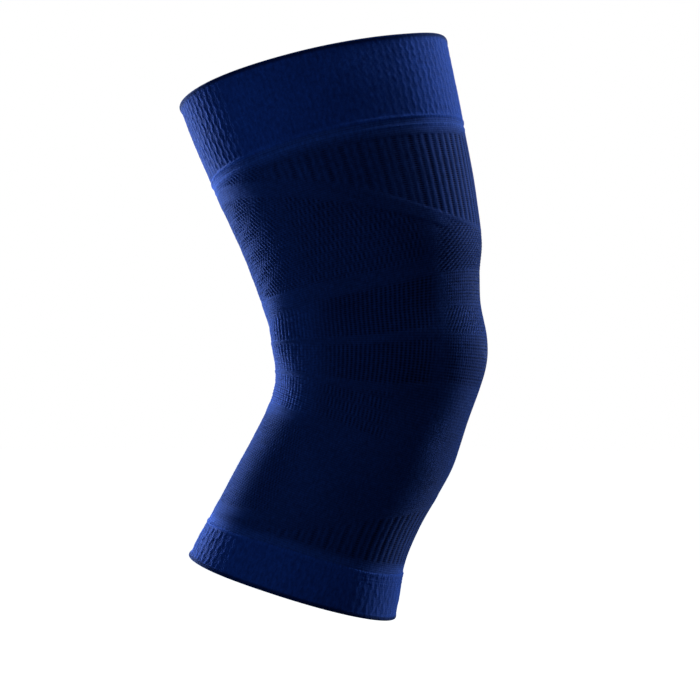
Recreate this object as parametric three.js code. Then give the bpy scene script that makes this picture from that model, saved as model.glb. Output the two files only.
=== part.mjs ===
// A knitted knee sleeve in the form that it takes on a bent leg, in millimetres, +Z up, +X to the front.
// The origin is the middle of the knee. The sleeve is open at both ends.
import * as THREE from "three";

// Lengths along the middle of the leg, from the knee to the top and bottom edges
const THIGH_LENGTH = 163.5;
const SHANK_LENGTH = 137.5;
// How far the two limbs lean back from upright, in degrees, and the radius of the bend between them
const THIGH_LEAN = 13.6;
const SHANK_LEAN = 19.5;
const BEND_RADIUS = 115;

// Outer size of the plain knit, front to back and side to side
const THIGH_END_DEPTH = 156.5;
const THIGH_END_WIDTH = 148;
const KNEE_DEPTH = 119;
const KNEE_WIDTH = 110;
const UNDER_KNEE_DEPTH = 109;
const UNDER_KNEE_WIDTH = 102;
const CALF_END_DEPTH = 121;
const CALF_END_WIDTH = 113;

// Cuffs, which stand a little proud of the plain knit and swell at half their height
const KNIT_WALL = 1.6;
const CUFF_WALL = 2.1;
const CUFF_SWELL = 0.3;
const UPPER_CUFF_HEIGHT = 45;
const LOWER_CUFF_HEIGHT = 24;
const SEAM_GAP = 0.3;
const SEAM_HEIGHT = 4.6;
const SEAM_RISE = 0.4;

// Plain knit between each seam and its ribs, and the ribs, which rise to their full height over RIB_FADE
const UPPER_MARGIN_HEIGHT = 9;
const LOWER_MARGIN_HEIGHT = 5;
const UPPER_RIB_COUNT = 96;
const LOWER_RIB_COUNT = 76;
const RIB_RISE = 0.9;
const RIB_FADE = 11;

// Smooth bands, which come out of the knit over BAND_FADE degrees, and the length of the step at an edge
const BAND_RISE = 0.5;
const BAND_FADE = 14;
const STEP_LENGTH = 1.2;
const LEAST_COURSE = 0.8;

// Points round a ring, and rows of points
const COLUMNS_PER_RIB = 2;
const PLAIN_COLUMNS = 60;
const LINING_COLUMNS = 40;
const LINING_ROWS = 19;
const UPPER_RIB_ROWS = 3;
const LOWER_RIB_ROWS = 2;

const THIGH_END = { depth: THIGH_END_DEPTH, width: THIGH_END_WIDTH };
const KNEE = { depth: KNEE_DEPTH, width: KNEE_WIDTH };
const UNDER_KNEE = { depth: UNDER_KNEE_DEPTH, width: UNDER_KNEE_WIDTH };
const CALF_END = { depth: CALF_END_DEPTH, width: CALF_END_WIDTH };

// Sections from bottom to top. at: share of the shank length (below 0) or of the thigh length (above 0).
// depth, width and forward (how far the middle lies to the front): shares of the named girth.
const SECTIONS = [
  { at: -1.0, girth: CALF_END, depth: 1.0, width: 1.0, forward: -0.07 },
  { at: -0.909, girth: CALF_END, depth: 0.965, width: 0.977, forward: -0.07 },
  { at: -0.764, girth: CALF_END, depth: 0.91, width: 0.93, forward: -0.068 },
  { at: -0.618, girth: UNDER_KNEE, depth: 0.99, width: 1.0, forward: -0.059 },
  { at: -0.473, girth: UNDER_KNEE, depth: 0.99, width: 0.99, forward: -0.03 },
  { at: -0.327, girth: UNDER_KNEE, depth: 1.0, width: 1.0, forward: -0.006 },
  { at: -0.182, girth: KNEE, depth: 0.942, width: 0.955, forward: -0.015 },
  { at: -0.087, girth: KNEE, depth: 0.973, width: 0.985, forward: -0.018 },
  { at: 0, girth: KNEE, depth: 1.0, width: 1.0, forward: -0.02 },
  { at: 0.061, girth: KNEE, depth: 1.009, width: 1.01, forward: -0.02 },
  { at: 0.135, girth: KNEE, depth: 1.012, width: 1.02, forward: -0.02 },
  { at: 0.214, girth: KNEE, depth: 1.043, width: 1.045, forward: -0.003 },
  { at: 0.306, girth: KNEE, depth: 1.095, width: 1.096, forward: 0.012 },
  { at: 0.459, girth: THIGH_END, depth: 0.872, width: 0.872, forward: 0.009 },
  { at: 0.642, girth: THIGH_END, depth: 0.925, width: 0.932, forward: -0.003 },
  { at: 0.826, girth: THIGH_END, depth: 0.963, width: 0.973, forward: -0.016 },
  { at: 1.0, girth: THIGH_END, depth: 1.0, width: 1.0, forward: -0.026 },
];

// Swellings and dents of the leg under the cloth, each on both sides of the front line.
// at: share of the limb's length; across: degrees from the front; reach and spread: half its length and
// half its width, and rise: its height, as shares of the knee's depth.
const SWELLINGS = [
  { name: "kneecap", at: 0.012, across: 0, reach: 0.13, spread: 0.19, rise: 0.027 },
  { name: "hollow beside the kneecap", at: -0.03, across: 50, reach: 0.16, spread: 0.13, rise: -0.016 },
  { name: "hollow under the kneecap", at: -0.27, across: 28, reach: 0.1, spread: 0.12, rise: -0.009 },
  { name: "shin", at: -0.46, across: 0, reach: 0.3, spread: 0.11, rise: 0.007 },
  { name: "inner thigh muscle", at: 0.36, across: 62, reach: 0.24, spread: 0.25, rise: 0.016 },
  { name: "hamstring tendon", at: 0.1, across: 146, reach: 0.3, spread: 0.12, rise: 0.017 },
  { name: "hollow behind the knee", at: 0.02, across: 180, reach: 0.26, spread: 0.16, rise: -0.012 },
  { name: "calf muscle", at: -0.72, across: 140, reach: 0.36, spread: 0.22, rise: 0.012 },
];

// Heights at five places round half the leg. TOP_EDGE and BOTTOM_EDGE: shares of the limb's length.
// UPPER_SEAM and LOWER_SEAM: shares of the cuff's height, measured from its edge.
const TOP_EDGE = { front: 1.021, frontSide: 1.001, side: 1.0, backSide: 1.009, back: 1.012 };
const BOTTOM_EDGE = { front: -0.993, frontSide: -0.998, side: -1.009, backSide: -1.026, back: -1.03 };
const UPPER_SEAM = { front: 1.1, frontSide: 1.01, side: 0.97, backSide: 0.97, back: 1.04 };
const LOWER_SEAM = { front: 1.09, frontSide: 1.04, side: 1.05, backSide: 0.99, back: 0.98 };

// Lower edge of the upper ribs and upper edge of the lower ribs, which both run out to nothing at the back
const UPPER_RIBS_END = { front: 0.348, frontSide: 0.4, side: 0.558, backSide: 0.66, back: 0.68 };
const LOWER_RIBS_END = { front: -0.515, frontSide: -0.592, side: -0.735, backSide: -0.81, back: -0.83 };

// Smooth raised bands from top to bottom, by the middle of each: shares of the limb's length.
// height: share of the thigh length; starts: degrees from the front where the band comes out of the knit.
const ALL_ROUND = -BAND_FADE;
const BANDS = [
  { front: 0.326, frontSide: 0.38, side: 0.524, backSide: 0.633, back: 0.652, height: 0.06, starts: ALL_ROUND },
  { front: 0.226, frontSide: 0.228, side: 0.229, backSide: 0.246, back: 0.25, height: 0.06, starts: 48 },
  { front: 0.068, frontSide: 0.064, side: 0.043, backSide: 0.046, back: 0.05, height: 0.034, starts: 44 },
  { front: -0.08, frontSide: -0.092, side: -0.128, backSide: -0.14, back: -0.165, height: 0.029, starts: 40 },
  { front: -0.37, frontSide: -0.36, side: -0.322, backSide: -0.335, back: -0.35, height: 0.04, starts: 52 },
  { front: -0.475, frontSide: -0.55, side: -0.69, backSide: -0.78, back: -0.8, height: 0.044, starts: ALL_ROUND },
];
const PLACES = ["front", "frontSide", "side", "backSide", "back"];

// Plain courses between each band and the next
const COURSES_BETWEEN = [2, 1, 1, 1, 4];

// Double ridge along a cuff's seam, by shares of its height and of its rise
const SEAM_RIDGES = [
  { at: 1, rise: 0 },
  { at: 0.75, rise: 1 },
  { at: 0.5, rise: 0.2 },
  { at: 0.25, rise: 1 },
  { at: 0, rise: 0 },
];

// Cubic curve through the values at the knots, with the slope at each knot from its neighbours
function smooth(knots, values, x) {
  let i = 0;
  while (i < knots.length - 2 && x > knots[i + 1]) i++;
  const slope = (k) => {
    const a = Math.max(k - 1, 0);
    const b = Math.min(k + 1, knots.length - 1);
    return (values[b] - values[a]) / (knots[b] - knots[a]);
  };
  const span = knots[i + 1] - knots[i];
  const t = (x - knots[i]) / span;
  if (t < 0) return values[i] + slope(i) * span * t;
  if (t > 1) return values[i + 1] + slope(i + 1) * span * (t - 1);
  const start = (1 + 2 * t) * (1 - t) * (1 - t) * values[i] + t * (1 - t) * (1 - t) * span * slope(i);
  const end = t * t * (3 - 2 * t) * values[i + 1] + t * t * (t - 1) * span * slope(i + 1);
  return start + end;
}

// Length along the leg of a share of the limb that it lies on
function along(share) {
  return share * (share < 0 ? SHANK_LENGTH : THIGH_LENGTH);
}

// Angle from the front, the same on both sides
function fromFront(angle) {
  return Math.abs(THREE.MathUtils.euclideanModulo(angle + Math.PI, 2 * Math.PI) - Math.PI);
}

// Value of a row of five places at an angle round the leg, level at the front and the back
function around(row, angle) {
  const values = PLACES.map((place) => row[place]);
  const mirrored = [values[1], ...values, values[values.length - 2]];
  const knots = mirrored.map((_, i) => ((i - 1) * Math.PI) / (PLACES.length - 1));
  return smooth(knots, mirrored, fromFront(angle));
}

// Middle line of the leg: straight along both limbs, with an arc between them
const thighLean = THREE.MathUtils.degToRad(THIGH_LEAN);
const shankLean = THREE.MathUtils.degToRad(SHANK_LEAN);
const kneeLean = (thighLean - shankLean) / 2;
const halfBend = (BEND_RADIUS * (thighLean + shankLean)) / 2;

function middle(s) {
  const bent = THREE.MathUtils.clamp(s, -halfBend, halfBend);
  const lean = kneeLean + bent / BEND_RADIUS;
  const rest = s - bent;
  const x = BEND_RADIUS * (Math.cos(lean) - Math.cos(kneeLean)) - rest * Math.sin(lean);
  const z = BEND_RADIUS * (Math.sin(lean) - Math.sin(kneeLean)) + rest * Math.cos(lean);
  return { x, z, lean };
}

const sectionKnots = SECTIONS.map((row) => along(row.at));
const halfDepths = SECTIONS.map((row) => (row.depth * row.girth.depth) / 2);
const halfWidths = SECTIONS.map((row) => (row.width * row.girth.width) / 2);
const forwards = SECTIONS.map((row) => row.forward * row.girth.depth);

// Height of the swellings and dents at a length along the leg and an angle round it
function swelling(s, angle) {
  let height = 0;
  for (const row of SWELLINGS) {
    const up = (s - along(row.at)) / (row.reach * KNEE_DEPTH);
    const aside = ((fromFront(angle) - THREE.MathUtils.degToRad(row.across)) * KNEE_WIDTH) / 2;
    const round = aside / (row.spread * KNEE_DEPTH);
    height += row.rise * KNEE_DEPTH * Math.exp(-up * up - round * round);
  }
  return height;
}

// Point at a length along the leg and an angle round it, at a height over the plain knit's outer face
function onLeg(s, angle, height) {
  const { x, z, lean } = middle(s);
  const out = height + swelling(s, angle);
  const forward = smooth(sectionKnots, forwards, s);
  const ahead = forward + (smooth(sectionKnots, halfDepths, s) + out) * Math.cos(angle);
  const aside = (smooth(sectionKnots, halfWidths, s) + out) * Math.sin(angle);
  return new THREE.Vector3(x + ahead * Math.cos(lean), aside, z + ahead * Math.sin(lean));
}

// A course is one ring of the knit: line(angle) gives its length along the leg, height(angle) its height
// over the plain knit, and columns how many points it has.
function course(line, height, columns) {
  const heightAt = typeof height === "function" ? height : () => height;
  return { line, height: heightAt, columns };
}

// Keeps each course below the one before it and above the last, so that ribs can run out to nothing
function settle(courses) {
  const last = courses.length - 1;
  const settled = (angle) => {
    const lines = courses.map((own) => own.line(angle));
    for (let i = 1; i < last; i++) lines[i] = Math.min(lines[i], lines[i - 1] - LEAST_COURSE);
    for (let i = last - 1; i > 0; i--) lines[i] = Math.max(lines[i], lines[i + 1] + LEAST_COURSE);
    return lines;
  };
  return courses.map((own, i) => ({ ...own, line: (angle) => settled(angle)[i] }));
}

// Closed ring of cloth through its courses, down the outside and up the inside. Neighbouring rings are
// joined by triangles that step along whichever ring is behind.
function clothMesh(name, courses, material) {
  const rings = courses.map((own) =>
    Array.from({ length: own.columns }, (_, i) => {
      const angle = (2 * Math.PI * i) / own.columns;
      return onLeg(own.line(angle), angle, own.height(angle));
    }),
  );
  const starts = [];
  const points = [];
  for (const ring of rings) {
    starts.push(points.length);
    points.push(...ring);
  }
  const index = [];
  rings.forEach((ring, k) => {
    const next = (k + 1) % rings.length;
    const size = ring.length;
    const nextSize = rings[next].length;
    const own = (i) => starts[k] + (i % size);
    const other = (j) => starts[next] + (j % nextSize);
    let i = 0;
    let j = 0;
    while (i < size || j < nextSize) {
      if ((i + 1) * nextSize <= (j + 1) * size) {
        index.push(own(i), other(j), own(i + 1));
        i++;
      } else {
        index.push(own(i), other(j), other(j + 1));
        j++;
      }
    }
  });
  const geometry = new THREE.BufferGeometry().setFromPoints(points);
  geometry.setIndex(index);
  geometry.computeVertexNormals();
  const mesh = new THREE.Mesh(geometry, material);
  mesh.name = name;
  return mesh;
}

const lineOf = (row) => (angle) => along(around(row, angle));
const shifted = (line, by) => (angle) => line(angle) + by;
const mixed = (from, to, share) => (angle) => from(angle) * (1 - share) + to(angle) * share;

const topEdge = lineOf(TOP_EDGE);
const bottomEdge = lineOf(BOTTOM_EDGE);
const upperSeam = (angle) => topEdge(angle) - UPPER_CUFF_HEIGHT * around(UPPER_SEAM, angle);
const lowerSeam = (angle) => bottomEdge(angle) + LOWER_CUFF_HEIGHT * around(LOWER_SEAM, angle);

// Ribs between two lines, lower where there is little room for them
function ribs(top, bottom, count, rows) {
  const tall = (angle) => THREE.MathUtils.smoothstep(top(angle) - bottom(angle), 0, RIB_FADE);
  const wave = (angle) => (RIB_RISE * tall(angle) * (1 + Math.cos(count * angle))) / 2;
  const from = shifted(top, -STEP_LENGTH);
  const to = shifted(bottom, STEP_LENGTH);
  const ribbed = Array.from({ length: rows + 1 }, (_, k) =>
    course(mixed(from, to, k / rows), wave, count * COLUMNS_PER_RIB),
  );
  return [course(top, 0, PLAIN_COLUMNS), ...ribbed, course(bottom, 0, PLAIN_COLUMNS)];
}

// Raised band along its middle line
function band(row) {
  const line = lineOf(row);
  const half = (row.height * THIGH_LENGTH) / 2;
  const rise = (angle) => {
    const past = THREE.MathUtils.radToDeg(fromFront(angle)) - row.starts;
    return BAND_RISE * THREE.MathUtils.smoothstep(past, 0, BAND_FADE);
  };
  return [
    course(shifted(line, half), 0, PLAIN_COLUMNS),
    course(shifted(line, half - STEP_LENGTH), rise, PLAIN_COLUMNS),
    course(shifted(line, STEP_LENGTH - half), rise, PLAIN_COLUMNS),
    course(shifted(line, -half), 0, PLAIN_COLUMNS),
  ];
}

// Plain courses between two lines, not counting the lines themselves
function plain(top, bottom, rows) {
  return Array.from({ length: rows }, (_, k) =>
    course(mixed(top, bottom, (k + 1) / (rows + 1)), 0, PLAIN_COLUMNS),
  );
}

// Inner face from one line up to another
function lining(bottom, top) {
  return Array.from({ length: LINING_ROWS + 1 }, (_, k) =>
    course(mixed(bottom, top, k / LINING_ROWS), -KNIT_WALL, LINING_COLUMNS),
  );
}

function sleeveBody(material) {
  const top = shifted(upperSeam, -SEAM_GAP / 2);
  const bottom = shifted(lowerSeam, SEAM_GAP / 2);
  const upperRibsTop = shifted(upperSeam, -UPPER_MARGIN_HEIGHT);
  const lowerRibsBottom = shifted(lowerSeam, LOWER_MARGIN_HEIGHT);
  const middles = BANDS.map(lineOf);
  const banded = BANDS.map(band);
  COURSES_BETWEEN.forEach((rows, i) => banded[i].push(...plain(middles[i], middles[i + 1], rows)));
  const outside = settle([
    course(top, 0, PLAIN_COLUMNS),
    ...ribs(upperRibsTop, lineOf(UPPER_RIBS_END), UPPER_RIB_COUNT, UPPER_RIB_ROWS),
    ...banded.flat(),
    ...ribs(lineOf(LOWER_RIBS_END), lowerRibsBottom, LOWER_RIB_COUNT, LOWER_RIB_ROWS),
    course(bottom, 0, PLAIN_COLUMNS),
  ]);
  return clothMesh("sleeve_body", [...outside, ...lining(bottom, top)], material);
}

// Doubled cuff, folded over at its free edge. up is 1 if that edge is the upper one, and -1 if it is the
// lower one. The courses run over the edge, along the outside to the seam, and back along the inside.
function cuff(name, edge, seam, up, material) {
  const face = CUFF_WALL - KNIT_WALL;
  const round = CUFF_WALL / 3;
  const shoulder = shifted(edge, -up * round);
  const seamed = shifted(seam, (up * SEAM_GAP) / 2);
  const outer = (line, height) => course(line, height, PLAIN_COLUMNS);
  const inner = (line, height) => course(line, height, LINING_COLUMNS);
  const courses = [
    inner(shoulder, -KNIT_WALL),
    inner(edge, round - KNIT_WALL),
    outer(edge, face - round),
    outer(shoulder, face),
    outer(mixed(edge, seamed, 0.4), face + CUFF_SWELL),
    ...SEAM_RIDGES.map((row) =>
      outer(shifted(seamed, up * SEAM_HEIGHT * row.at), face + SEAM_RISE * row.rise),
    ),
    inner(seamed, -KNIT_WALL),
    inner(mixed(edge, seamed, 0.5), -KNIT_WALL),
  ];
  return clothMesh(name, up > 0 ? courses : courses.reverse(), material);
}

const knitFinish = (color) => new THREE.MeshStandardMaterial({ color, roughness: 0.9, metalness: 0 });
const cuffBlue = knitFinish(0x0d2f86);
const bodyBlue = knitFinish(0x0b2166);

const sleeve = new THREE.Group();
sleeve.add(
  cuff("upper_cuff", topEdge, upperSeam, 1, cuffBlue),
  sleeveBody(bodyBlue),
  cuff("lower_cuff", bottomEdge, lowerSeam, -1, cuffBlue),
);

export default sleeve;
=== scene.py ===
"""A knitted knee sleeve in its worn, bent form, lit softly from both sides before white."""
import math

import bpy
import numpy as np
from mathutils import Matrix, Vector


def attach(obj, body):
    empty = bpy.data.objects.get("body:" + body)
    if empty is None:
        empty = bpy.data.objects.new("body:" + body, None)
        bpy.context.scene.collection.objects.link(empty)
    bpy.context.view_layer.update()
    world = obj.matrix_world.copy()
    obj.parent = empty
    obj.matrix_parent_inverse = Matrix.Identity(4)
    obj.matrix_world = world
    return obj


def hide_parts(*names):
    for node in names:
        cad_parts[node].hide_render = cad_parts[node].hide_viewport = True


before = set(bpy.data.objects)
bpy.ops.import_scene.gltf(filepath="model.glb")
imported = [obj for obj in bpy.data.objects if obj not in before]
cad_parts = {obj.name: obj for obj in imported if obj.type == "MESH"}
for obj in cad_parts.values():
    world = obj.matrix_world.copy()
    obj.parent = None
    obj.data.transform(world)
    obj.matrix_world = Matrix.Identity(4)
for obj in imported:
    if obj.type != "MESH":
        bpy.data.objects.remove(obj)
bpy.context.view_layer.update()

MM = 0.001

# The sleeve's form, in millimetres, as the CAD has it. Its two halves are measured along its middle line,
# from the middle of the bend.
THIGH_LENGTH = 163.5
SHANK_LENGTH = 137.5
THIGH_LEAN = math.radians(13.6)
SHANK_LEAN = math.radians(19.5)
BEND_RADIUS = 115
THIGH_END = {"depth": 156.5, "width": 148}
KNEE = {"depth": 119, "width": 110}
UNDER_KNEE = {"depth": 109, "width": 102}
CALF_END = {"depth": 121, "width": 113}
KNIT_WALL = 1.6
CUFF_WALL = 2.1
CUFF_SWELL = 0.3
UPPER_CUFF_HEIGHT = 45
LOWER_CUFF_HEIGHT = 24
SEAM_GAP = 0.04
UPPER_MARGIN_HEIGHT = 8.4
LOWER_MARGIN_HEIGHT = 5

# Sections from bottom to top: share of the half's length, girth, and its depth, width and forward shares
SECTIONS = [
    (-1.0, CALF_END, 1.0, 1.0, -0.07),
    (-0.909, CALF_END, 0.965, 0.977, -0.07),
    (-0.764, CALF_END, 0.91, 0.93, -0.068),
    (-0.618, UNDER_KNEE, 0.99, 1.0, -0.059),
    (-0.473, UNDER_KNEE, 0.99, 0.99, -0.03),
    (-0.327, UNDER_KNEE, 1.0, 1.0, -0.006),
    (-0.182, KNEE, 0.942, 0.955, -0.015),
    (-0.087, KNEE, 0.973, 0.985, -0.018),
    (0, KNEE, 1.0, 1.0, -0.02),
    (0.061, KNEE, 1.009, 1.01, -0.02),
    (0.135, KNEE, 1.012, 1.02, -0.02),
    (0.214, KNEE, 1.043, 1.045, -0.003),
    (0.306, KNEE, 1.095, 1.096, 0.012),
    (0.459, THIGH_END, 0.872, 0.872, 0.009),
    (0.642, THIGH_END, 0.925, 0.932, -0.003),
    (0.826, THIGH_END, 0.963, 0.973, -0.016),
    (1.0, THIGH_END, 1.0, 1.0, -0.026),
]

# Swellings and dents: place along the half, degrees from the front, and the reach along the sleeve, the
# spread round it and the rise as shares of the depth at the bend
SWELLINGS = [
    (0.012, 0, 0.13, 0.19, 0.027),
    (-0.03, 50, 0.16, 0.13, -0.016),
    (-0.27, 28, 0.1, 0.12, -0.009),
    (-0.46, 0, 0.3, 0.11, 0.007),
    (0.36, 62, 0.24, 0.25, 0.016),
    (0.1, 146, 0.3, 0.12, 0.017),
    (0.02, 180, 0.26, 0.16, -0.012),
    (-0.72, 140, 0.36, 0.22, 0.012),
]

# Lines round the sleeve, by five places from the front to the back, as shares of the half's length.
# The seams are shares of their cuff's height.
TOP_EDGE = (1.021, 1.001, 1.0, 1.009, 1.012)
BOTTOM_EDGE = (-0.993, -0.998, -1.009, -1.026, -1.03)
UPPER_SEAM = (1.1, 1.03, 0.99, 1.04, 1.1)
LOWER_SEAM = (1.09, 1.04, 1.05, 0.99, 0.98)
UPPER_RIBS_END = (0.348, 0.4, 0.558, 0.66, 0.68)
LOWER_RIBS_END = (-0.515, -0.592, -0.735, -0.81, -0.83)

# Smooth bands by their middle lines: five places, height as a share of the upper half's length, and the
# degrees from the front where the band comes out of the knit
BANDS = {
    "upper_edge": ((0.326, 0.38, 0.524, 0.633, 0.652), 0.06, 34),
    "above_knee": ((0.226, 0.228, 0.229, 0.246, 0.25), 0.06, 46),
    "knee": ((0.068, 0.064, 0.043, 0.046, 0.05), 0.034, 42),
    "under_knee": ((-0.08, -0.092, -0.128, -0.14, -0.165), 0.029, 38),
    "shank": ((-0.37, -0.36, -0.322, -0.335, -0.35), 0.04, 52),
    "lower_edge": ((-0.475, -0.55, -0.69, -0.78, -0.8), 0.044, -20),
}
BAND_RISE = 0.14
BAND_FADE = 16
BAND_EDGE = 2.0


def knots_curve(knots, values, x):
    """Cubic curve through the values at the knots, with slopes from the neighbours and straight beyond."""
    knots = np.asarray(knots, float)
    values = np.asarray(values, float)
    i = np.clip(np.searchsorted(knots, x, side="left") - 1, 0, len(knots) - 2)
    before = np.maximum(np.arange(len(knots)) - 1, 0)
    after = np.minimum(np.arange(len(knots)) + 1, len(knots) - 1)
    slopes = (values[after] - values[before]) / (knots[after] - knots[before])
    span = knots[i + 1] - knots[i]
    t = (x - knots[i]) / span
    u = np.clip(t, 0, 1)
    start = (1 + 2 * u) * (1 - u) ** 2 * values[i] + u * (1 - u) ** 2 * span * slopes[i]
    end = u * u * (3 - 2 * u) * values[i + 1] + u * u * (u - 1) * span * slopes[i + 1]
    outside = np.where(t < 0, slopes[i] * span * t, np.where(t > 1, slopes[i + 1] * span * (t - 1), 0))
    return start + end + outside


def along(share):
    """Length along the sleeve of a share of the half that it lies on."""
    return share * (SHANK_LENGTH if share < 0 else THIGH_LENGTH)


def from_front(angle):
    """Angle from the front, the same on both sides."""
    return np.abs((angle + math.pi) % (2 * math.pi) - math.pi)


def around(places, angle):
    """Value of five places at an angle round the sleeve."""
    mirrored = [places[1], *places, places[-2]]
    knots = [(i - 1) * math.pi / (len(places) - 1) for i in range(len(mirrored))]
    return knots_curve(knots, mirrored, from_front(angle))


def line(places, angle):
    """Length along the sleeve of a line round it."""
    share = around(places, angle)
    return np.where(share < 0, share * SHANK_LENGTH, share * THIGH_LENGTH)


def smoothstep(x, low, high):
    """0 up to low and 1 from high on, with a soft rise between them."""
    t = np.clip((x - low) / (high - low), 0, 1)
    return t * t * (3 - 2 * t)


KNEE_LEAN = (THIGH_LEAN - SHANK_LEAN) / 2
HALF_BEND = BEND_RADIUS * (THIGH_LEAN + SHANK_LEAN) / 2
SECTION_KNOTS = [along(row[0]) for row in SECTIONS]


def swelling(s, angle):
    """Height of the form's swellings and dents under the knit."""
    height = 0
    for at, across, reach, spread, rise in SWELLINGS:
        up = (s - along(at)) / (reach * KNEE["depth"])
        aside = (from_front(angle) - math.radians(across)) * KNEE["width"] / 2
        height = height + rise * KNEE["depth"] * np.exp(-up ** 2 - (aside / (spread * KNEE["depth"])) ** 2)
    return height


def on_form(s, angle, height):
    """Points, in metres, at lengths along the sleeve and angles round it, at a height over the plain knit."""
    bent = np.clip(s, -HALF_BEND, HALF_BEND)
    lean = KNEE_LEAN + bent / BEND_RADIUS
    rest = s - bent
    x = BEND_RADIUS * (np.cos(lean) - math.cos(KNEE_LEAN)) - rest * np.sin(lean)
    z = BEND_RADIUS * (np.sin(lean) - math.sin(KNEE_LEAN)) + rest * np.cos(lean)
    out = height + swelling(s, angle)
    half_depth = knots_curve(SECTION_KNOTS, [row[2] * row[1]["depth"] / 2 for row in SECTIONS], s)
    half_width = knots_curve(SECTION_KNOTS, [row[3] * row[1]["width"] / 2 for row in SECTIONS], s)
    forward = knots_curve(SECTION_KNOTS, [row[4] * row[1]["depth"] for row in SECTIONS], s)
    ahead = forward + (half_depth + out) * np.cos(angle)
    aside = (half_width + out) * np.sin(angle)
    return np.stack([x + ahead * np.cos(lean), aside, z + ahead * np.sin(lean)], -1) * MM


def upper_seam(angle):
    """Length along the sleeve of the upper cuff's seam."""
    return line(TOP_EDGE, angle) - UPPER_CUFF_HEIGHT * around(UPPER_SEAM, angle)


def lower_seam(angle):
    """Length along the sleeve of the lower cuff's seam."""
    return line(BOTTOM_EDGE, angle) + LOWER_CUFF_HEIGHT * around(LOWER_SEAM, angle)


def between(s, low, high, soft=0.8):
    """1 between two lengths along the sleeve and 0 outside, with soft edges."""
    return smoothstep(s, low - soft, low + soft) * (1 - smoothstep(s, high - soft, high + soft))


def sector(angle, low, high, soft):
    """1 between two angles from the front, in degrees, and 0 outside, with soft edges."""
    degrees = np.degrees(from_front(angle))
    return smoothstep(degrees, low - soft, low + soft) * (1 - smoothstep(degrees, high - soft, high + soft))


def wave(turns):
    """Rounded wave from 0 to 1, highest at whole turns."""
    return 0.5 + 0.5 * np.cos(2 * math.pi * turns)


def wander(s, angle, seed, waves=5):
    """Slow, smooth unevenness from -1 to 1 over the whole sleeve, that closes round it."""
    draw = np.random.default_rng(seed)
    total = 0
    for _ in range(waves):
        turns = draw.integers(1, 9)
        pitch = draw.uniform(25, 90)
        phase, lift = draw.uniform(0, 2 * math.pi, 2)
        total = total + np.cos(turns * angle + phase) * np.cos(2 * math.pi * s / pitch + lift)
    return total / waves


# Ribs and loops round the sleeve, how much they widen to the front and back, and a radius in millimetres
UPPER_RIBS = 86
LOWER_RIBS = 78
FINE_RIBS = 138
NET_WALES = 146
MOSS_WALES = 164
BACK_WALES = 132
UPPER_CUFF_WALES = 108
LOWER_CUFF_WALES = 76
SEAM_LOOPS = 200
WIDENING = 0.12
KNEE_RADIUS = 58

# Depth of each zone of the knit in millimetres, and the tone of the zones that aren't plain
DEPTHS = {
    "upper_ribs": 0.38, "lower_ribs": 0.24, "side_net": 0.16, "upper_back": 0.55, "front_thigh": 0.34,
    "front_net": 0.1, "kneecap": 0.24, "fine_ribs": 0.13, "under_knee": 0.12, "hollow": 0.5, "calf": 0.24,
}
TONES = {"upper_back": 1.15, "hollow": 1.85}

# Degrees from the front over which a zone comes in or goes out
FRONT_END = (38, 47)
FRONT_THIGH_END = (43, 53)
SIDE_START = (52, 60)
BACK_START = (112, 126)
FINE_START = (46, 56)
FINE_END = (98, 124)
HOLLOW_START = (108, 132)
CALF_START = (100, 125)

# Grooves of the ribs: value at the front, its change, and the degrees from the front over which it changes
NARROW_GROOVE_DEPTH = (0.95, -0.17, 30, 44)
WIDE_GROOVE_WIDTH = (0.3, 0.12, 34, 60)
GROOVE_DEPTH = (1, -0.26, 44, 64)
NARROW_GROOVE_WIDTH = 0.28

# Millimetres over which the ribs fade out at a seam's margin and at a band, and the room they need to show
MARGIN_FADE = (0, 1.6)
BAND_SIDE_FADE = (-0.4, 1.4)
UPPER_RIB_ROOM = 9
LOWER_RIB_ROOM = 7

# Pitches of dashes, dots, creases and nets in millimetres, and slanted rows by their degrees and pitch
SIDE_DASH = 4.4
UNDER_KNEE_DASH = 7
MOSS_STEP = 2.2
CREASE = 1.9
DOT_PITCH = 1.7
NET_PITCHES = (1.6, 1.8)
TWILL = (128, 2.0)
FRONT_THIGH_ROWS = (36, 2.2)
KNEECAP_ROWS = (50, 1.9)

# Where zones lie: lengths along the sleeve in millimetres, and for one the degrees from the front with the
# softness of its sides
FRONT_THIGH_SPAN = (34, 90)
OVER_KNEECAP_SPAN = (21.5, 33.5)
KNEECAP_SPAN = (10, 20.5)
UNDER_KNEECAP_SPAN = (-10, 9)
HOLLOW_SPAN = (-46, 33)
UNDER_KNEE_SECTOR = (72, 112, 8)

# Seams and cuffs, in millimetres
SEAM_RISE = 0.4
SEAM_WIDTH = 0.5
UNDER_SEAM = 3.5
UNDER_SEAM_GROOVE_SHADE = 1.8
CUFF_RIDGE = 0.6
SEAM_STEPS = (2.4, 4.1, 5.8)
STEP_RISE = 0.3
CUFF_BRAID = 6.5
CUFF_DEPTH = 0.44
HEM_SHADE_BAND = (0.6, 2.0)

# Degrees from the front where the back of the cuffs starts and where the fine lines by the lower seam end,
# and shares by which the knit is deeper at the back and darker there and at the hem, both darkenings painted
# shade
CUFF_BACK = (118, 140)
STEPS_END = (60, 110)
CUFF_BACK_DEEPER = 0.8
CUFF_BACK_PAINTED_SHADE = 0.32
HEM_PAINTED_SHADE = 0.7

# How far plain knit stands out of the grooves, and how much brighter the knit is at each seam, with the
# millimetres from it between which that fades, and on the bands at the back
PLAIN_RELIEF = 0.62
UPPER_SEAM_TONE = (0.75, 3, 9)
LOWER_SEAM_TONE = (0.7, 1.5, 7)
BAND_TONE = 0.2

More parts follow.
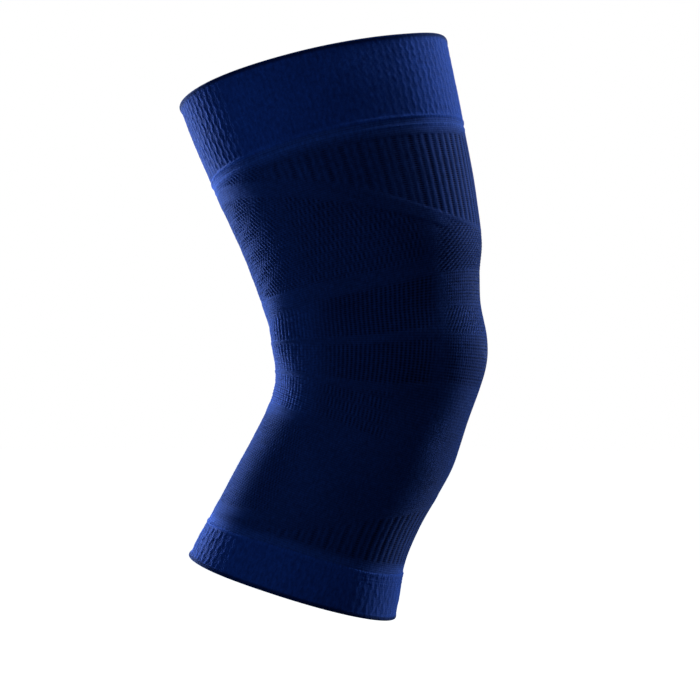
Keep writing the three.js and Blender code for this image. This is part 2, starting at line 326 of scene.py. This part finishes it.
# Unevenness: its seeds, the waves that the finer kind adds up, and the height of the slow kind in millimetres
SEEDS = {
    "dashes": 5, "body": 7, "cuff_ribs": 11, "cuff_braid": 12, "cuff_face": 13, "cuff_rows": 14,
    "cuff_lift": 15, "front_dots": 21, "twill": 22, "hollow_wales": 23, "hollow_creases": 24,
    "hollow_lift": 25, "fine_ribs": 26, "back_moss": 31, "calf_moss": 33, "beads": 41,
}
MANY_WAVES = 9
BODY_UNEVEN = 0.28
CUFF_UNEVEN = 0.22


def towards_side(degrees, front, change, first, last):
    """The value at the front, with its change added between the two angles."""
    return front + change * smoothstep(degrees, first, last)


def grooved(turns, width, narrow_depth):
    """Ribs with grooves between them, from 0 in a groove to 1. Every other groove is narrow."""
    wide = np.exp(-(((turns + 1) % 2 - 1) / width) ** 2)
    narrow = np.exp(-((turns % 2 - 1) / NARROW_GROOVE_WIDTH) ** 2)
    return 1 - np.clip(wide + narrow_depth * narrow, 0, 1)


def wales(angle, count):
    """Turns of so many ribs, the same on both sides of the sleeve and wider towards its front and back."""
    away = from_front(angle)
    return count * (away - WIDENING * np.sin(2 * away) / 2) / (2 * math.pi) + 0.5


def uneven(turns, row, seed):
    """A share from 0 to 1 that differs from rib to rib and from row to row."""
    draws = np.random.default_rng(seed).uniform(0, 1, (64, 256))
    return draws[(row % 64).astype(int), (np.floor(turns + 0.5) % 256).astype(int)]


def broken(turns, s, step):
    """Short dashes in rows, each row half a dash aside of the next, that fade at their ends."""
    row = np.floor(s / step)
    end = np.abs(s / step - row - 0.5) * 2
    shifted = turns + 0.5 * (row % 2)
    dashes = (wave(shifted) - 0.5) * (0.45 + 0.75 * uneven(shifted, row, SEEDS["dashes"]))
    return 0.5 + dashes * (1 - smoothstep(end, 0.55, 1.0))


def slanted(s, angle, degrees, pitch):
    """Lines that rise towards the front at an angle from level, or away from it over 90 degrees."""
    arc = from_front(angle) * KNEE_RADIUS
    tilt = math.radians(degrees)
    return wave((s * math.cos(tilt) + arc * math.sin(tilt)) / pitch)


def moss(s, angle, seed):
    """Fine uneven dots, each row half a dot aside of the next."""
    turns = wales(angle, MOSS_WALES) + 0.5 * wander(s, angle, seed, MANY_WAVES)
    return broken(turns, s + 0.6 * wander(s, angle, seed + 1, MANY_WAVES), MOSS_STEP)


def net(s, angle):
    """Fine net of level and upright lines."""
    pitch_up, pitch_round = NET_PITCHES
    arc = from_front(angle) * KNEE_RADIUS
    return 0.25 * wave(s / pitch_up) + 0.6 * wave(arc / pitch_round)


def band_shape(name, s, angle):
    """A smooth band, from 0 outside it to 1."""
    places, height, starts = BANDS[name]
    half = height * THIGH_LENGTH / 2
    away = np.abs(s - line(places, angle))
    shown = smoothstep(np.degrees(from_front(angle)), starts, starts + BAND_FADE)
    return (1 - smoothstep(away, half - BAND_EDGE, half + 0.4)) * shown


def seam_line(away, angle):
    """A thin ridge of loops, highest where away is 0."""
    turns = wales(angle, SEAM_LOOPS)
    beads = (0.4 + 0.6 * wave(turns)) * (0.6 + 0.4 * uneven(turns, turns * 0, SEEDS["beads"]))
    return np.exp(-(away / SEAM_WIDTH) ** 2) * beads


def rib_zones(s, angle, degrees):
    """The ribs under the upper cuff and over the lower one."""
    width = towards_side(degrees, *WIDE_GROOVE_WIDTH)
    narrow_depth = towards_side(degrees, *NARROW_GROOVE_DEPTH)
    depth = towards_side(degrees, *GROOVE_DEPTH)

    def ribs(count):
        return 1 - depth * (1 - grooved(wales(angle, count), width, narrow_depth))

    def mask(top, top_fade, end, end_fade, room):
        shown = smoothstep(top - end, 0, room)
        return smoothstep(top - s, *top_fade) * smoothstep(s - end, *end_fade) * shown

    upper_margin = upper_seam(angle) - UPPER_MARGIN_HEIGHT
    lower_margin = lower_seam(angle) + LOWER_MARGIN_HEIGHT
    upper_end = line(UPPER_RIBS_END, angle)
    lower_top = line(LOWER_RIBS_END, angle)
    upper = mask(upper_margin, MARGIN_FADE, upper_end, BAND_SIDE_FADE, UPPER_RIB_ROOM)
    lower = mask(lower_top, BAND_SIDE_FADE, lower_margin, MARGIN_FADE, LOWER_RIB_ROOM)
    return [("upper_ribs", upper, ribs(UPPER_RIBS)), ("lower_ribs", lower, ribs(LOWER_RIBS))]


def thigh_zones(s, angle, degrees, middle):
    """The net, moss knit and slanted rows of the upper half, and the nets and rows before the bend."""
    under_ribs = 1 - smoothstep(s, middle["upper_edge"] - 4, middle["upper_edge"])
    over_knee = smoothstep(s, middle["above_knee"] - 1, middle["above_knee"] + 3)
    side = smoothstep(degrees, *SIDE_START) * (1 - smoothstep(degrees, *BACK_START))
    front = 1 - smoothstep(degrees, *FRONT_END)
    back = smoothstep(degrees, *BACK_START)
    twill = slanted(s + 1.5 * wander(s, angle, SEEDS["twill"], MANY_WAVES), angle, *TWILL)
    high = over_knee * smoothstep(upper_seam(angle) - s, 4.5, 6)
    ribs_end = line(UPPER_RIBS_END, angle)
    under_edge = 1 - smoothstep(s, ribs_end - 3, ribs_end - 1)
    front_thigh = under_edge * (1 - smoothstep(degrees, *FRONT_THIGH_END)) * between(s, *FRONT_THIGH_SPAN)
    dots = wave(s / DOT_PITCH + 0.6 * wander(s, angle, SEEDS["front_dots"], MANY_WAVES))
    return [
        ("side_net", under_ribs * over_knee * side, broken(wales(angle, NET_WALES), s, SIDE_DASH)),
        ("upper_back", high * back, 0.65 * moss(s, angle, SEEDS["back_moss"]) + 0.35 * twill),
        ("front_thigh", front_thigh, slanted(s, angle, *FRONT_THIGH_ROWS) * (0.55 + 0.45 * dots)),
        ("front_net", front * between(s, *OVER_KNEECAP_SPAN), net(s, angle)),
        ("kneecap", front * between(s, *KNEECAP_SPAN), slanted(s, angle, *KNEECAP_ROWS)),
        ("front_net", front * between(s, *UNDER_KNEECAP_SPAN), net(s, angle)),
    ]


def knee_zones(s, angle, degrees, middle):
    """The fine ribs and dashes between the bands, the creased hollow and the moss knit under it."""
    spread = smoothstep(degrees, *FINE_START) * (1 - smoothstep(degrees, *FINE_END))
    above = smoothstep(middle["above_knee"] - s, 2, 4) * smoothstep(s - middle["knee"], 1, 3)
    below = smoothstep(middle["knee"] - s, 1, 3) * smoothstep(s - middle["under_knee"], 1, 3)
    under = smoothstep(middle["under_knee"] - s, 1, 3) * smoothstep(s - middle["shank"], 2, 5)
    faint = 0.8 + 0.4 * wander(s, angle, SEEDS["fine_ribs"], MANY_WAVES)
    fine = wave(wales(angle, FINE_RIBS)) * faint
    hollow = between(s, *HOLLOW_SPAN, 4) * smoothstep(degrees, *HOLLOW_START)
    level = 0.5 + 0.5 * smoothstep(-s, -6, 8)
    bent = wales(angle, BACK_WALES) + 0.35 * wander(s, angle, SEEDS["hollow_wales"], MANY_WAVES)
    creased = wave(s / CREASE + 0.6 * wander(s, angle, SEEDS["hollow_creases"], MANY_WAVES))
    lift = 0.5 + 0.5 * uneven(bent, np.floor(s / CREASE), SEEDS["hollow_lift"])
    calf = smoothstep(HOLLOW_SPAN[0] - s, 0, 8) * smoothstep(s - middle["lower_edge"], 2, 5)
    dashes = broken(wales(angle, FINE_RIBS), s, UNDER_KNEE_DASH)
    return [
        ("fine_ribs", above * spread, fine),
        ("fine_ribs", below * spread, fine),
        ("under_knee", under * sector(angle, *UNDER_KNEE_SECTOR), dashes),
        ("hollow", hollow, ((1 - 0.5 * level) * wave(bent) + 0.5 * level * creased) * lift),
        ("calf", calf * smoothstep(degrees, *CALF_START), moss(s, angle, SEEDS["calf_moss"])),
    ]


def body_relief(s, angle):
    """Height of the body's knit, how far each point stands out of the grooves (0 to 1) and its tone."""
    middle = {name: line(row[0], angle) for name, row in BANDS.items()}
    degrees = np.degrees(from_front(angle))
    zones = rib_zones(s, angle, degrees)
    zones += thigh_zones(s, angle, degrees, middle)
    zones += knee_zones(s, angle, degrees, middle)
    shapes = [band_shape(name, s, angle) for name in BANDS]
    height = np.zeros_like(s)
    relief = np.full_like(s, PLAIN_RELIEF)
    tone = np.ones_like(s)
    bare = np.ones_like(s)
    for shape in shapes:
        bare = bare * (1 - shape)
    for name, mask, pattern in zones:
        share = mask * bare
        height = height + share * DEPTHS[name] * (pattern - 1)
        relief = relief * (1 - share) + pattern * share
        tone = tone * (1 - share) + TONES.get(name, 1.0) * share
    back = smoothstep(degrees, *BACK_START)
    for shape in shapes:
        height = height + BAND_RISE * shape
        relief = relief * (1 - shape) + PLAIN_RELIEF * shape
        tone = tone + BAND_TONE * shape * back
    under_seam = upper_seam(angle) - s
    over_seam = s - lower_seam(angle)
    for away, (brighter, first, last) in ((under_seam, UPPER_SEAM_TONE), (over_seam, LOWER_SEAM_TONE)):
        tone = tone + brighter * (1 - smoothstep(away, first, last))
    ridge = seam_line(under_seam - UNDER_SEAM, angle)
    height = height + SEAM_RISE * ridge + BODY_UNEVEN * wander(s, angle, SEEDS["body"])
    # A line of painted shade under the seam: it darkens the colour as a groove would, with no depth
    groove = seam_line(under_seam - UNDER_SEAM_GROOVE_SHADE, angle)
    relief = np.clip(relief + 0.35 * ridge - 0.12 * groove, 0, 1)
    return height, relief, tone + 0.15 * ridge


def cuff_relief(s, angle, from_seam, tall, count, steps):
    """Height of a cuff's knit over its face, how far each point stands out and its tone."""
    degrees = np.degrees(from_front(angle))
    turns = wales(angle, count) + 0.22 * wander(s, angle, SEEDS["cuff_ribs"], MANY_WAVES)
    row = np.floor(s / CUFF_BRAID * 2 + 0.7 * wander(s, angle, SEEDS["cuff_rows"], MANY_WAVES))
    turned = 2 * math.pi * s / CUFF_BRAID + 5 * wander(s, angle, SEEDS["cuff_braid"], MANY_WAVES)
    braid = np.cos(math.pi * (turns - 0.5)) * np.cos(turned)
    lift = 0.55 + 0.45 * uneven(turns, row, SEEDS["cuff_lift"])
    pattern = wave(turns) * np.clip(0.4 + 0.6 * braid, 0, 1) * lift
    inside = smoothstep(from_seam, 1.0, 2.4) * smoothstep(tall - from_seam, 0.4, 2.4)
    back = smoothstep(degrees, *CUFF_BACK)
    height = inside * CUFF_DEPTH * (1 + CUFF_BACK_DEEPER * back) * (pattern - 1)
    relief = PLAIN_RELIEF * (1 - inside) + pattern * inside
    ridge = seam_line(from_seam - CUFF_RIDGE, angle)
    front = 1 - smoothstep(degrees, *STEPS_END)
    fine = sum(seam_line(from_seam - step, angle) for step in steps) * front
    swell = CUFF_SWELL * np.sin(math.pi * np.clip(from_seam / tall, 0, 1)) ** 1.5
    slow = CUFF_UNEVEN * wander(s, angle, SEEDS["cuff_face"])
    height = height + SEAM_RISE * ridge + STEP_RISE * fine + swell + slow
    sunk = (CUFF_WALL - KNIT_WALL) * (1 - smoothstep(from_seam, 0, 1.6))
    # The band along the hem is darkened as painted shade where its edge turns away from the light
    hem = 1 - smoothstep(tall - from_seam, *HEM_SHADE_BAND)
    # At the back the hollows between the braids are darkened too: painted shade where the rim light grazes
    tone = 1 - HEM_PAINTED_SHADE * hem + 0.1 * ridge - CUFF_BACK_PAINTED_SHADE * back * inside * (1 - pattern)
    return height - sunk, np.clip(relief + 0.35 * ridge + 0.3 * fine, 0, 1), tone


# Stitches round the sleeve, and millimetres a course, for the finest knit
WALES = 320
COURSE = 1.15

# Columns and rows of the meshes, and the relief and tone of the plain inside and of the hem, darker as
# painted shade
BODY_COLUMNS = 760
BODY_ROWS = 453
INNER_ROWS = 6
BODY_PIECES = ("thigh_knit", "over_knee_knit", "knee_knit", "shank_knit")
CUFF_COLUMNS = 820
UPPER_CUFF_ROWS = 76
LOWER_CUFF_ROWS = 42
HEM_STEPS = 8
CUFF_INNER_ROWS = 6
LINING_RELIEF = 0.8
HEM_SHADE_RELIEF = 0.4
HEM_SHADE_TONE = 0.35


def tube(name, rows, normals, material, node):
    """Closed ring of cloth through rows of (lengths, heights, relief, tone), down its outside and up its
    inside. A normal of zero length leaves its point shaded by its own faces."""
    s, height, relief, tone = (np.stack([row[column] for row in rows]) for column in range(4))
    count, columns = s.shape
    angles = np.broadcast_to(ring_angles(columns), s.shape)
    points = on_form(s, angles, height)
    row, column = np.meshgrid(np.arange(count), np.arange(columns), indexing="ij")
    below = (row + 1) % count
    beside = (column + 1) % columns
    this_ring = row * columns
    next_ring = below * columns
    corners = np.stack([this_ring + column, next_ring + column, next_ring + beside, this_ring + beside], -1)
    corners = corners.reshape(-1, 4)
    mesh = bpy.data.meshes.new(name)
    mesh.vertices.add(points.size // 3)
    mesh.vertices.foreach_set("co", points.astype(np.float32).ravel())
    mesh.loops.add(corners.size)
    mesh.loops.foreach_set("vertex_index", corners.astype(np.int32).ravel())
    mesh.polygons.add(len(corners))
    mesh.polygons.foreach_set("loop_start", np.arange(0, corners.size, 4, dtype=np.int32))
    mesh.update(calc_edges=True)
    mesh.shade_smooth()
    mesh.normals_split_custom_set_from_vertices(normals.reshape(-1, 3))

    across = np.stack([column, column, column + 1, column + 1], -1) * WALES / columns
    courses = s / COURSE
    next_courses = np.roll(courses, -1, 0)
    up = np.stack([courses, next_courses, np.roll(next_courses, -1, 1), np.roll(courses, -1, 1)], -1)
    stitches = mesh.uv_layers.new(name="stitches")
    stitches.data.foreach_set("uv", np.stack([across, up], -1).astype(np.float32).ravel())
    for label, values in (("relief", relief), ("tone", tone)):
        attribute = mesh.attributes.new(label, "FLOAT", "POINT")
        attribute.data.foreach_set("value", values.astype(np.float32).ravel())

    piece = bpy.data.objects.new(name, mesh)
    bpy.context.scene.collection.objects.link(piece)
    mesh.materials.append(material)
    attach(piece, "root")
    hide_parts(node)


def ring_angles(columns):
    """Angles of so many points round the sleeve."""
    return np.arange(columns) * 2 * math.pi / columns


def grid_normals(points):
    """Outward normals of a grid of points, from top to bottom, that closes round the sleeve."""
    down = np.gradient(points, axis=0)
    aside = np.roll(points, -1, 1) - np.roll(points, 1, 1)
    normals = np.cross(down, aside)
    return normals / np.linalg.norm(normals, axis=-1, keepdims=True)


def body(material):
    """The sleeve's body, from its upper seam to its lower one, in pieces with shared edges."""
    angles = ring_angles(BODY_COLUMNS)
    share = np.linspace(0, 1, BODY_ROWS)[:, None]
    top = upper_seam(angles) - SEAM_GAP / 2
    bottom = lower_seam(angles) + SEAM_GAP / 2
    s = top * (1 - share) + bottom * share
    angle = np.broadcast_to(angles, s.shape)
    height, relief, tone = body_relief(s, angle)
    normals = grid_normals(on_form(s, angle, height))
    inward = -grid_normals(on_form(s, angle, np.full_like(s, -KNIT_WALL)))
    flat = np.ones_like(angles)
    cuts = np.linspace(0, BODY_ROWS - 1, len(BODY_PIECES) + 1).astype(int)
    for name, first, last in zip(BODY_PIECES, cuts, cuts[1:]):
        rows = [(s[i], height[i], relief[i], tone[i]) for i in range(first, last + 1)]
        for inner in np.linspace(s[last], s[first], INNER_ROWS):
            rows.append((inner, -KNIT_WALL * flat, LINING_RELIEF * flat, flat))
        behind = inward[np.linspace(last, first, INNER_ROWS).round().astype(int)]
        facing = np.concatenate([normals[first:last + 1], behind])
        tube(name, rows, facing, material, "sleeve_body")


def row_points(rows, angles):
    """Points of rows of a ring."""
    return on_form(np.stack([row[0] for row in rows]), angles, np.stack([row[1] for row in rows]))


def cuff(name, edge_places, seam_places, up, face_rows, count, steps, material, node):
    """Doubled cuff with a rounded hem at its free edge. It is above the body if up is 1 and below if -1."""
    angles = ring_angles(CUFF_COLUMNS)
    flat = np.ones_like(angles)
    edge = line(edge_places, angles)
    seam = seam_places(angles) + up * SEAM_GAP / 2
    round_hem = CUFF_WALL / 2
    shoulder = edge - up * round_hem
    tall = up * (shoulder - seam)
    rows = []
    for i in range(face_rows + 1):
        share = i / face_rows
        s = shoulder * (1 - share) + seam * share
        height, relief, tone = cuff_relief(s, angles, up * (s - seam), tall, count, steps)
        rows.append((s, CUFF_WALL - KNIT_WALL + height, relief, tone))
    face = row_points(rows, angles)
    for inner in np.linspace(seam, shoulder, CUFF_INNER_ROWS):
        rows.append((inner, -KNIT_WALL * flat, LINING_RELIEF * flat, flat))
    lining = row_points(rows[face_rows + 1:], angles)
    middle = (rows[0][1] - KNIT_WALL) / 2
    half = (rows[0][1] + KNIT_WALL) / 2
    # The hem's rounding gets a darker colour and tone: painted shade where it turns away from the light
    for i in range(1, HEM_STEPS):
        turn = math.pi * i / HEM_STEPS
        beyond = shoulder + up * round_hem * math.sin(turn)
        rows.append((beyond, middle - half * math.cos(turn), HEM_SHADE_RELIEF * flat, HEM_SHADE_TONE * flat))
    unset = np.zeros((HEM_STEPS - 1, CUFF_COLUMNS, 3))
    normals = np.concatenate([up * grid_normals(face), up * grid_normals(lining), unset])
    if up < 0:
        rows.reverse()
        normals = normals[::-1]
    tube(name, rows, normals, material, node)


# Patterns of the knit's material: their scales, how the flecks are stretched along the sleeve, their shading
# by its gain and its value where the pattern is 0, and their heights
PATCH_SCALE = 28.0
FIBRE_SCALE = 1100.0
FLECK_SCALE = 0.95
FLECK_RUN = 0.38
PATCH_SHADE = (0.5, 0.75)
FIBRE_SHADE = (0.7, 0.65)
STITCH_SHADE = (0.2, 0.9)
FLECK_SHADE = (1.1, 0.45)
FIBRE_HEIGHT = 0.4
STITCH_HEIGHT = 0.8
FLECK_HEIGHT = 1.6
BUMP_STRENGTH = 0.45
BUMP_DISTANCE = 0.00025

# Colours in the grooves and on the ridges, weight and tint of the haze, and strength of the grooves' rungs
# The grooves' colour is darker partly for the knit's yarn and partly as painted shade in the grooves
BODY_LOOK = ((0.006, 0.012, 0.056, 1), (0.017, 0.041, 0.182, 1), 0.1, (0.68, 0.82, 1.0, 1), 0.9)
CUFF_LOOK = ((0.0155, 0.045, 0.237, 1), (0.02, 0.057, 0.29, 1), 0.15, (0.7, 0.83, 1.0, 1), 0.0)


class Shader:
    """Builds one material's nodes."""

    def __init__(self, name):
        self.material = bpy.data.materials.new(name)
        self.material.use_nodes = True
        self.tree = self.material.node_tree
        self.tree.nodes.clear()

    def add(self, kind, inputs=(), **settings):
        node = self.tree.nodes.new(kind)
        for key, value in settings.items():
            setattr(node, key, value)
        for socket, value in dict(inputs).items():
            if isinstance(value, bpy.types.NodeSocket):
                self.tree.links.new(value, node.inputs[socket])
            else:
                node.inputs[socket].default_value = value
        return node

    def math(self, operation, *values):
        return self.add("ShaderNodeMath", enumerate(values), operation=operation).outputs[0]

    def noise(self, vector, scale, detail):
        node = self.add("ShaderNodeTexNoise", {"Vector": vector, "Scale": scale, "Detail": detail})
        return node.outputs["Fac"]

    def blend(self, share, low, high):
        node = self.add("ShaderNodeMix", {0: share, 6: low, 7: high}, data_type="RGBA")
        return node.outputs[2]

    def finish(self, surface):
        self.add("ShaderNodeOutputMaterial", {"Surface": surface})
        return self.material


def knit(name, groove, ridge, haze, rim, rungs):
    """Matt synthetic knit, darker in its grooves by its yarn and by painted shade, with tiny stitches and a
    pale haze at its rims.
    """
    shader = Shader(name)
    relief = shader.add("ShaderNodeAttribute", attribute_name="relief").outputs["Fac"]
    tone = shader.add("ShaderNodeAttribute", attribute_name="tone").outputs["Fac"]
    place = shader.add("ShaderNodeTexCoord").outputs["Object"]
    patches = shader.noise(place, PATCH_SCALE, 3.0)
    fibres = shader.noise(place, FIBRE_SCALE, 2.0)
    uv = shader.add("ShaderNodeUVMap", uv_map="stitches").outputs["UV"]
    parts = shader.add("ShaderNodeSeparateXYZ", {"Vector": uv})
    turn = shader.math("SUBTRACT", shader.math("FRACT", parts.outputs["X"]), 0.5)
    away = shader.math("MULTIPLY", shader.math("ABSOLUTE", turn), 2.0)
    legs = shader.math("SINE", shader.math("MULTIPLY", away, math.pi))
    slope = shader.math("ADD", parts.outputs["Y"], shader.math("MULTIPLY", away, 0.7))
    loops = shader.math("ABSOLUTE", shader.math("SINE", shader.math("MULTIPLY", slope, math.pi)))
    stitch = shader.math("MULTIPLY", legs, shader.math("POWER", loops, 0.6))
    run = shader.math("MULTIPLY", parts.outputs["Y"], FLECK_RUN)
    threads = shader.add("ShaderNodeCombineXYZ", {"X": parts.outputs["X"], "Y": run})
    flecks = shader.noise(threads.outputs[0], FLECK_SCALE, 2.0)
    level = shader.math("SINE", shader.math("MULTIPLY", parts.outputs["Y"], 2 * math.pi))
    sunk = shader.math("SUBTRACT", 1.0, relief)
    rung = shader.math("MULTIPLY", shader.math("MULTIPLY", level, shader.math("POWER", sunk, 2.0)), rungs)

    # Colour from the grooves' to the ridges' by the relief: the yarn's own tones with painted shade in the
    # grooves
    colour = shader.blend(relief, groove, ridge)
    light = tone
    shades = ((patches, PATCH_SHADE), (fibres, FIBRE_SHADE), (stitch, STITCH_SHADE), (flecks, FLECK_SHADE))
    for pattern, shade in shades:
        light = shader.math("MULTIPLY", light, shader.math("MULTIPLY_ADD", pattern, *shade))
    light = shader.math("MULTIPLY", light, shader.math("ADD", rung, 1.0))
    lit = shader.add("ShaderNodeVectorMath", {0: colour, 3: light}, operation="SCALE").outputs[0]

    tall = shader.math("MULTIPLY_ADD", fibres, FIBRE_HEIGHT, shader.math("MULTIPLY", stitch, STITCH_HEIGHT))
    tall = shader.math("MULTIPLY_ADD", flecks, FLECK_HEIGHT, tall)
    bump = shader.add("ShaderNodeBump", {
        "Height": tall,
        "Strength": BUMP_STRENGTH,
        "Distance": BUMP_DISTANCE,
    })
    cloth = shader.add("ShaderNodeBsdfPrincipled", {
        "Base Color": lit,
        "Roughness": 0.92,
        "Specular IOR Level": 0.0,
        "Sheen Weight": haze,
        "Sheen Roughness": 0.3,
        "Sheen Tint": rim,
        "Normal": bump.outputs["Normal"],
    })
    return shader.finish(cloth.outputs["BSDF"])


body_knit = knit("body_knit", *BODY_LOOK)
cuff_knit = knit("cuff_knit", *CUFF_LOOK)
body(body_knit)
cuff("upper_cuff_knit", TOP_EDGE, upper_seam, 1, UPPER_CUFF_ROWS, UPPER_CUFF_WALES, (),
     cuff_knit, "upper_cuff")
cuff("lower_cuff_knit", BOTTOM_EDGE, lower_seam, -1, LOWER_CUFF_ROWS, LOWER_CUFF_WALES, SEAM_STEPS,
     cuff_knit, "lower_cuff")


# The photograph's view, from a little under level, so the floor lies far below
AZIMUTH = math.radians(8)
ELEVATION = math.radians(-2.6)
DISTANCE = 0.972
LEFT_OF_MIDDLE = 0.01695
OVER_MIDDLE = 0.003956
FOCAL_LENGTH = 88.457
SENSOR_WIDTH = 36
NEAREST = 0.01
FARTHEST = 100

# White floor and bluish light all round
FLOOR = -0.45
FLOOR_REACH = 30
AROUND_COLOUR = (0.4, 0.72, 1.0, 1)
AROUND_STRENGTH = 0.12
FLOOR_GLOW = 0.96

# Softboxes: name, place, width, height, watts and colour
AIM = (-0.02, 0, 0.02)
SOFTBOXES = [
    ("left_rim", (-1.19, 0.89, 0.1), 0.4, 1.5, 158, (1, 1, 1)),
    ("right_rim", (1.12, 1.02, 0.1), 0.4, 1.5, 47, (1, 1, 1)),
    ("right_top", (0.42, 0.16, 1.6), 0.5, 0.5, 22, (1, 1, 1)),
    ("left_fill", (-1.3, -0.9, 0.3), 0.8, 1.4, 3.6, (0.4, 0.72, 1)),
]


def camera():
    """The camera, turned to the photograph's angle."""
    back = Vector((
        math.sin(AZIMUTH) * math.cos(ELEVATION), -math.cos(AZIMUTH) * math.cos(ELEVATION), math.sin(ELEVATION)
    ))
    right = Vector((math.cos(AZIMUTH), math.sin(AZIMUTH), 0))
    up = back.cross(right)
    lens = bpy.data.cameras.new("camera")
    lens.lens = FOCAL_LENGTH
    lens.sensor_width = SENSOR_WIDTH
    lens.clip_start = NEAREST
    lens.clip_end = FARTHEST
    view = bpy.data.objects.new("camera", lens)
    bpy.context.scene.collection.objects.link(view)
    turned = Matrix((right, up, back)).transposed().to_4x4()
    place = back * DISTANCE - right * LEFT_OF_MIDDLE + up * OVER_MIDDLE
    view.matrix_world = Matrix.Translation(place) @ turned
    bpy.context.scene.camera = view


def softbox(name, place, width, height, watts, colour):
    """A soft light that points at the sleeve and that the camera doesn't see."""
    lamp = bpy.data.lights.new(name, "AREA")
    lamp.shape = "RECTANGLE"
    lamp.size = width
    lamp.size_y = height
    lamp.energy = watts
    lamp.color = colour
    stand = bpy.data.objects.new(name, lamp)
    bpy.context.scene.collection.objects.link(stand)
    stand.location = place
    stand.rotation_euler = (Vector(AIM) - Vector(place)).to_track_quat("-Z", "Y").to_euler()
    stand.visible_camera = False


def room():
    """White surroundings for the camera that light the sleeve only weakly, and a white floor."""
    world = bpy.data.worlds.new("room")
    world.use_nodes = True
    tree = world.node_tree
    tree.nodes.clear()
    ray = tree.nodes.new("ShaderNodeLightPath")
    dim = tree.nodes.new("ShaderNodeBackground")
    dim.inputs["Color"].default_value = AROUND_COLOUR
    dim.inputs["Strength"].default_value = AROUND_STRENGTH
    white = tree.nodes.new("ShaderNodeBackground")
    white.inputs["Color"].default_value = (1, 1, 1, 1)
    mix = tree.nodes.new("ShaderNodeMixShader")
    out = tree.nodes.new("ShaderNodeOutputWorld")
    tree.links.new(ray.outputs["Is Camera Ray"], mix.inputs[0])
    tree.links.new(dim.outputs[0], mix.inputs[1])
    tree.links.new(white.outputs[0], mix.inputs[2])
    tree.links.new(mix.outputs[0], out.inputs["Surface"])
    bpy.context.scene.world = world

    shader = Shader("floor")
    paint = shader.add("ShaderNodeBsdfDiffuse", {"Color": (0.9, 0.9, 0.9, 1)})
    glow = shader.add("ShaderNodeEmission", {"Color": (1, 1, 1, 1), "Strength": FLOOR_GLOW})
    both = shader.add("ShaderNodeAddShader", {0: paint.outputs[0], 1: glow.outputs[0]})
    mesh = bpy.data.meshes.new("floor")
    corners = [(x * FLOOR_REACH, y * FLOOR_REACH, FLOOR) for x, y in ((-1, -1), (1, -1), (1, 1), (-1, 1))]
    mesh.from_pydata(corners, [], [(0, 1, 2, 3)])
    mesh.materials.append(shader.finish(both.outputs[0]))
    floor = bpy.data.objects.new("floor", mesh)
    bpy.context.scene.collection.objects.link(floor)
    floor.visible_diffuse = False
    floor.visible_glossy = False


camera()
room()
for light_row in SOFTBOXES:
    softbox(*light_row)

bpy.context.scene.view_settings.view_transform = "Standard"
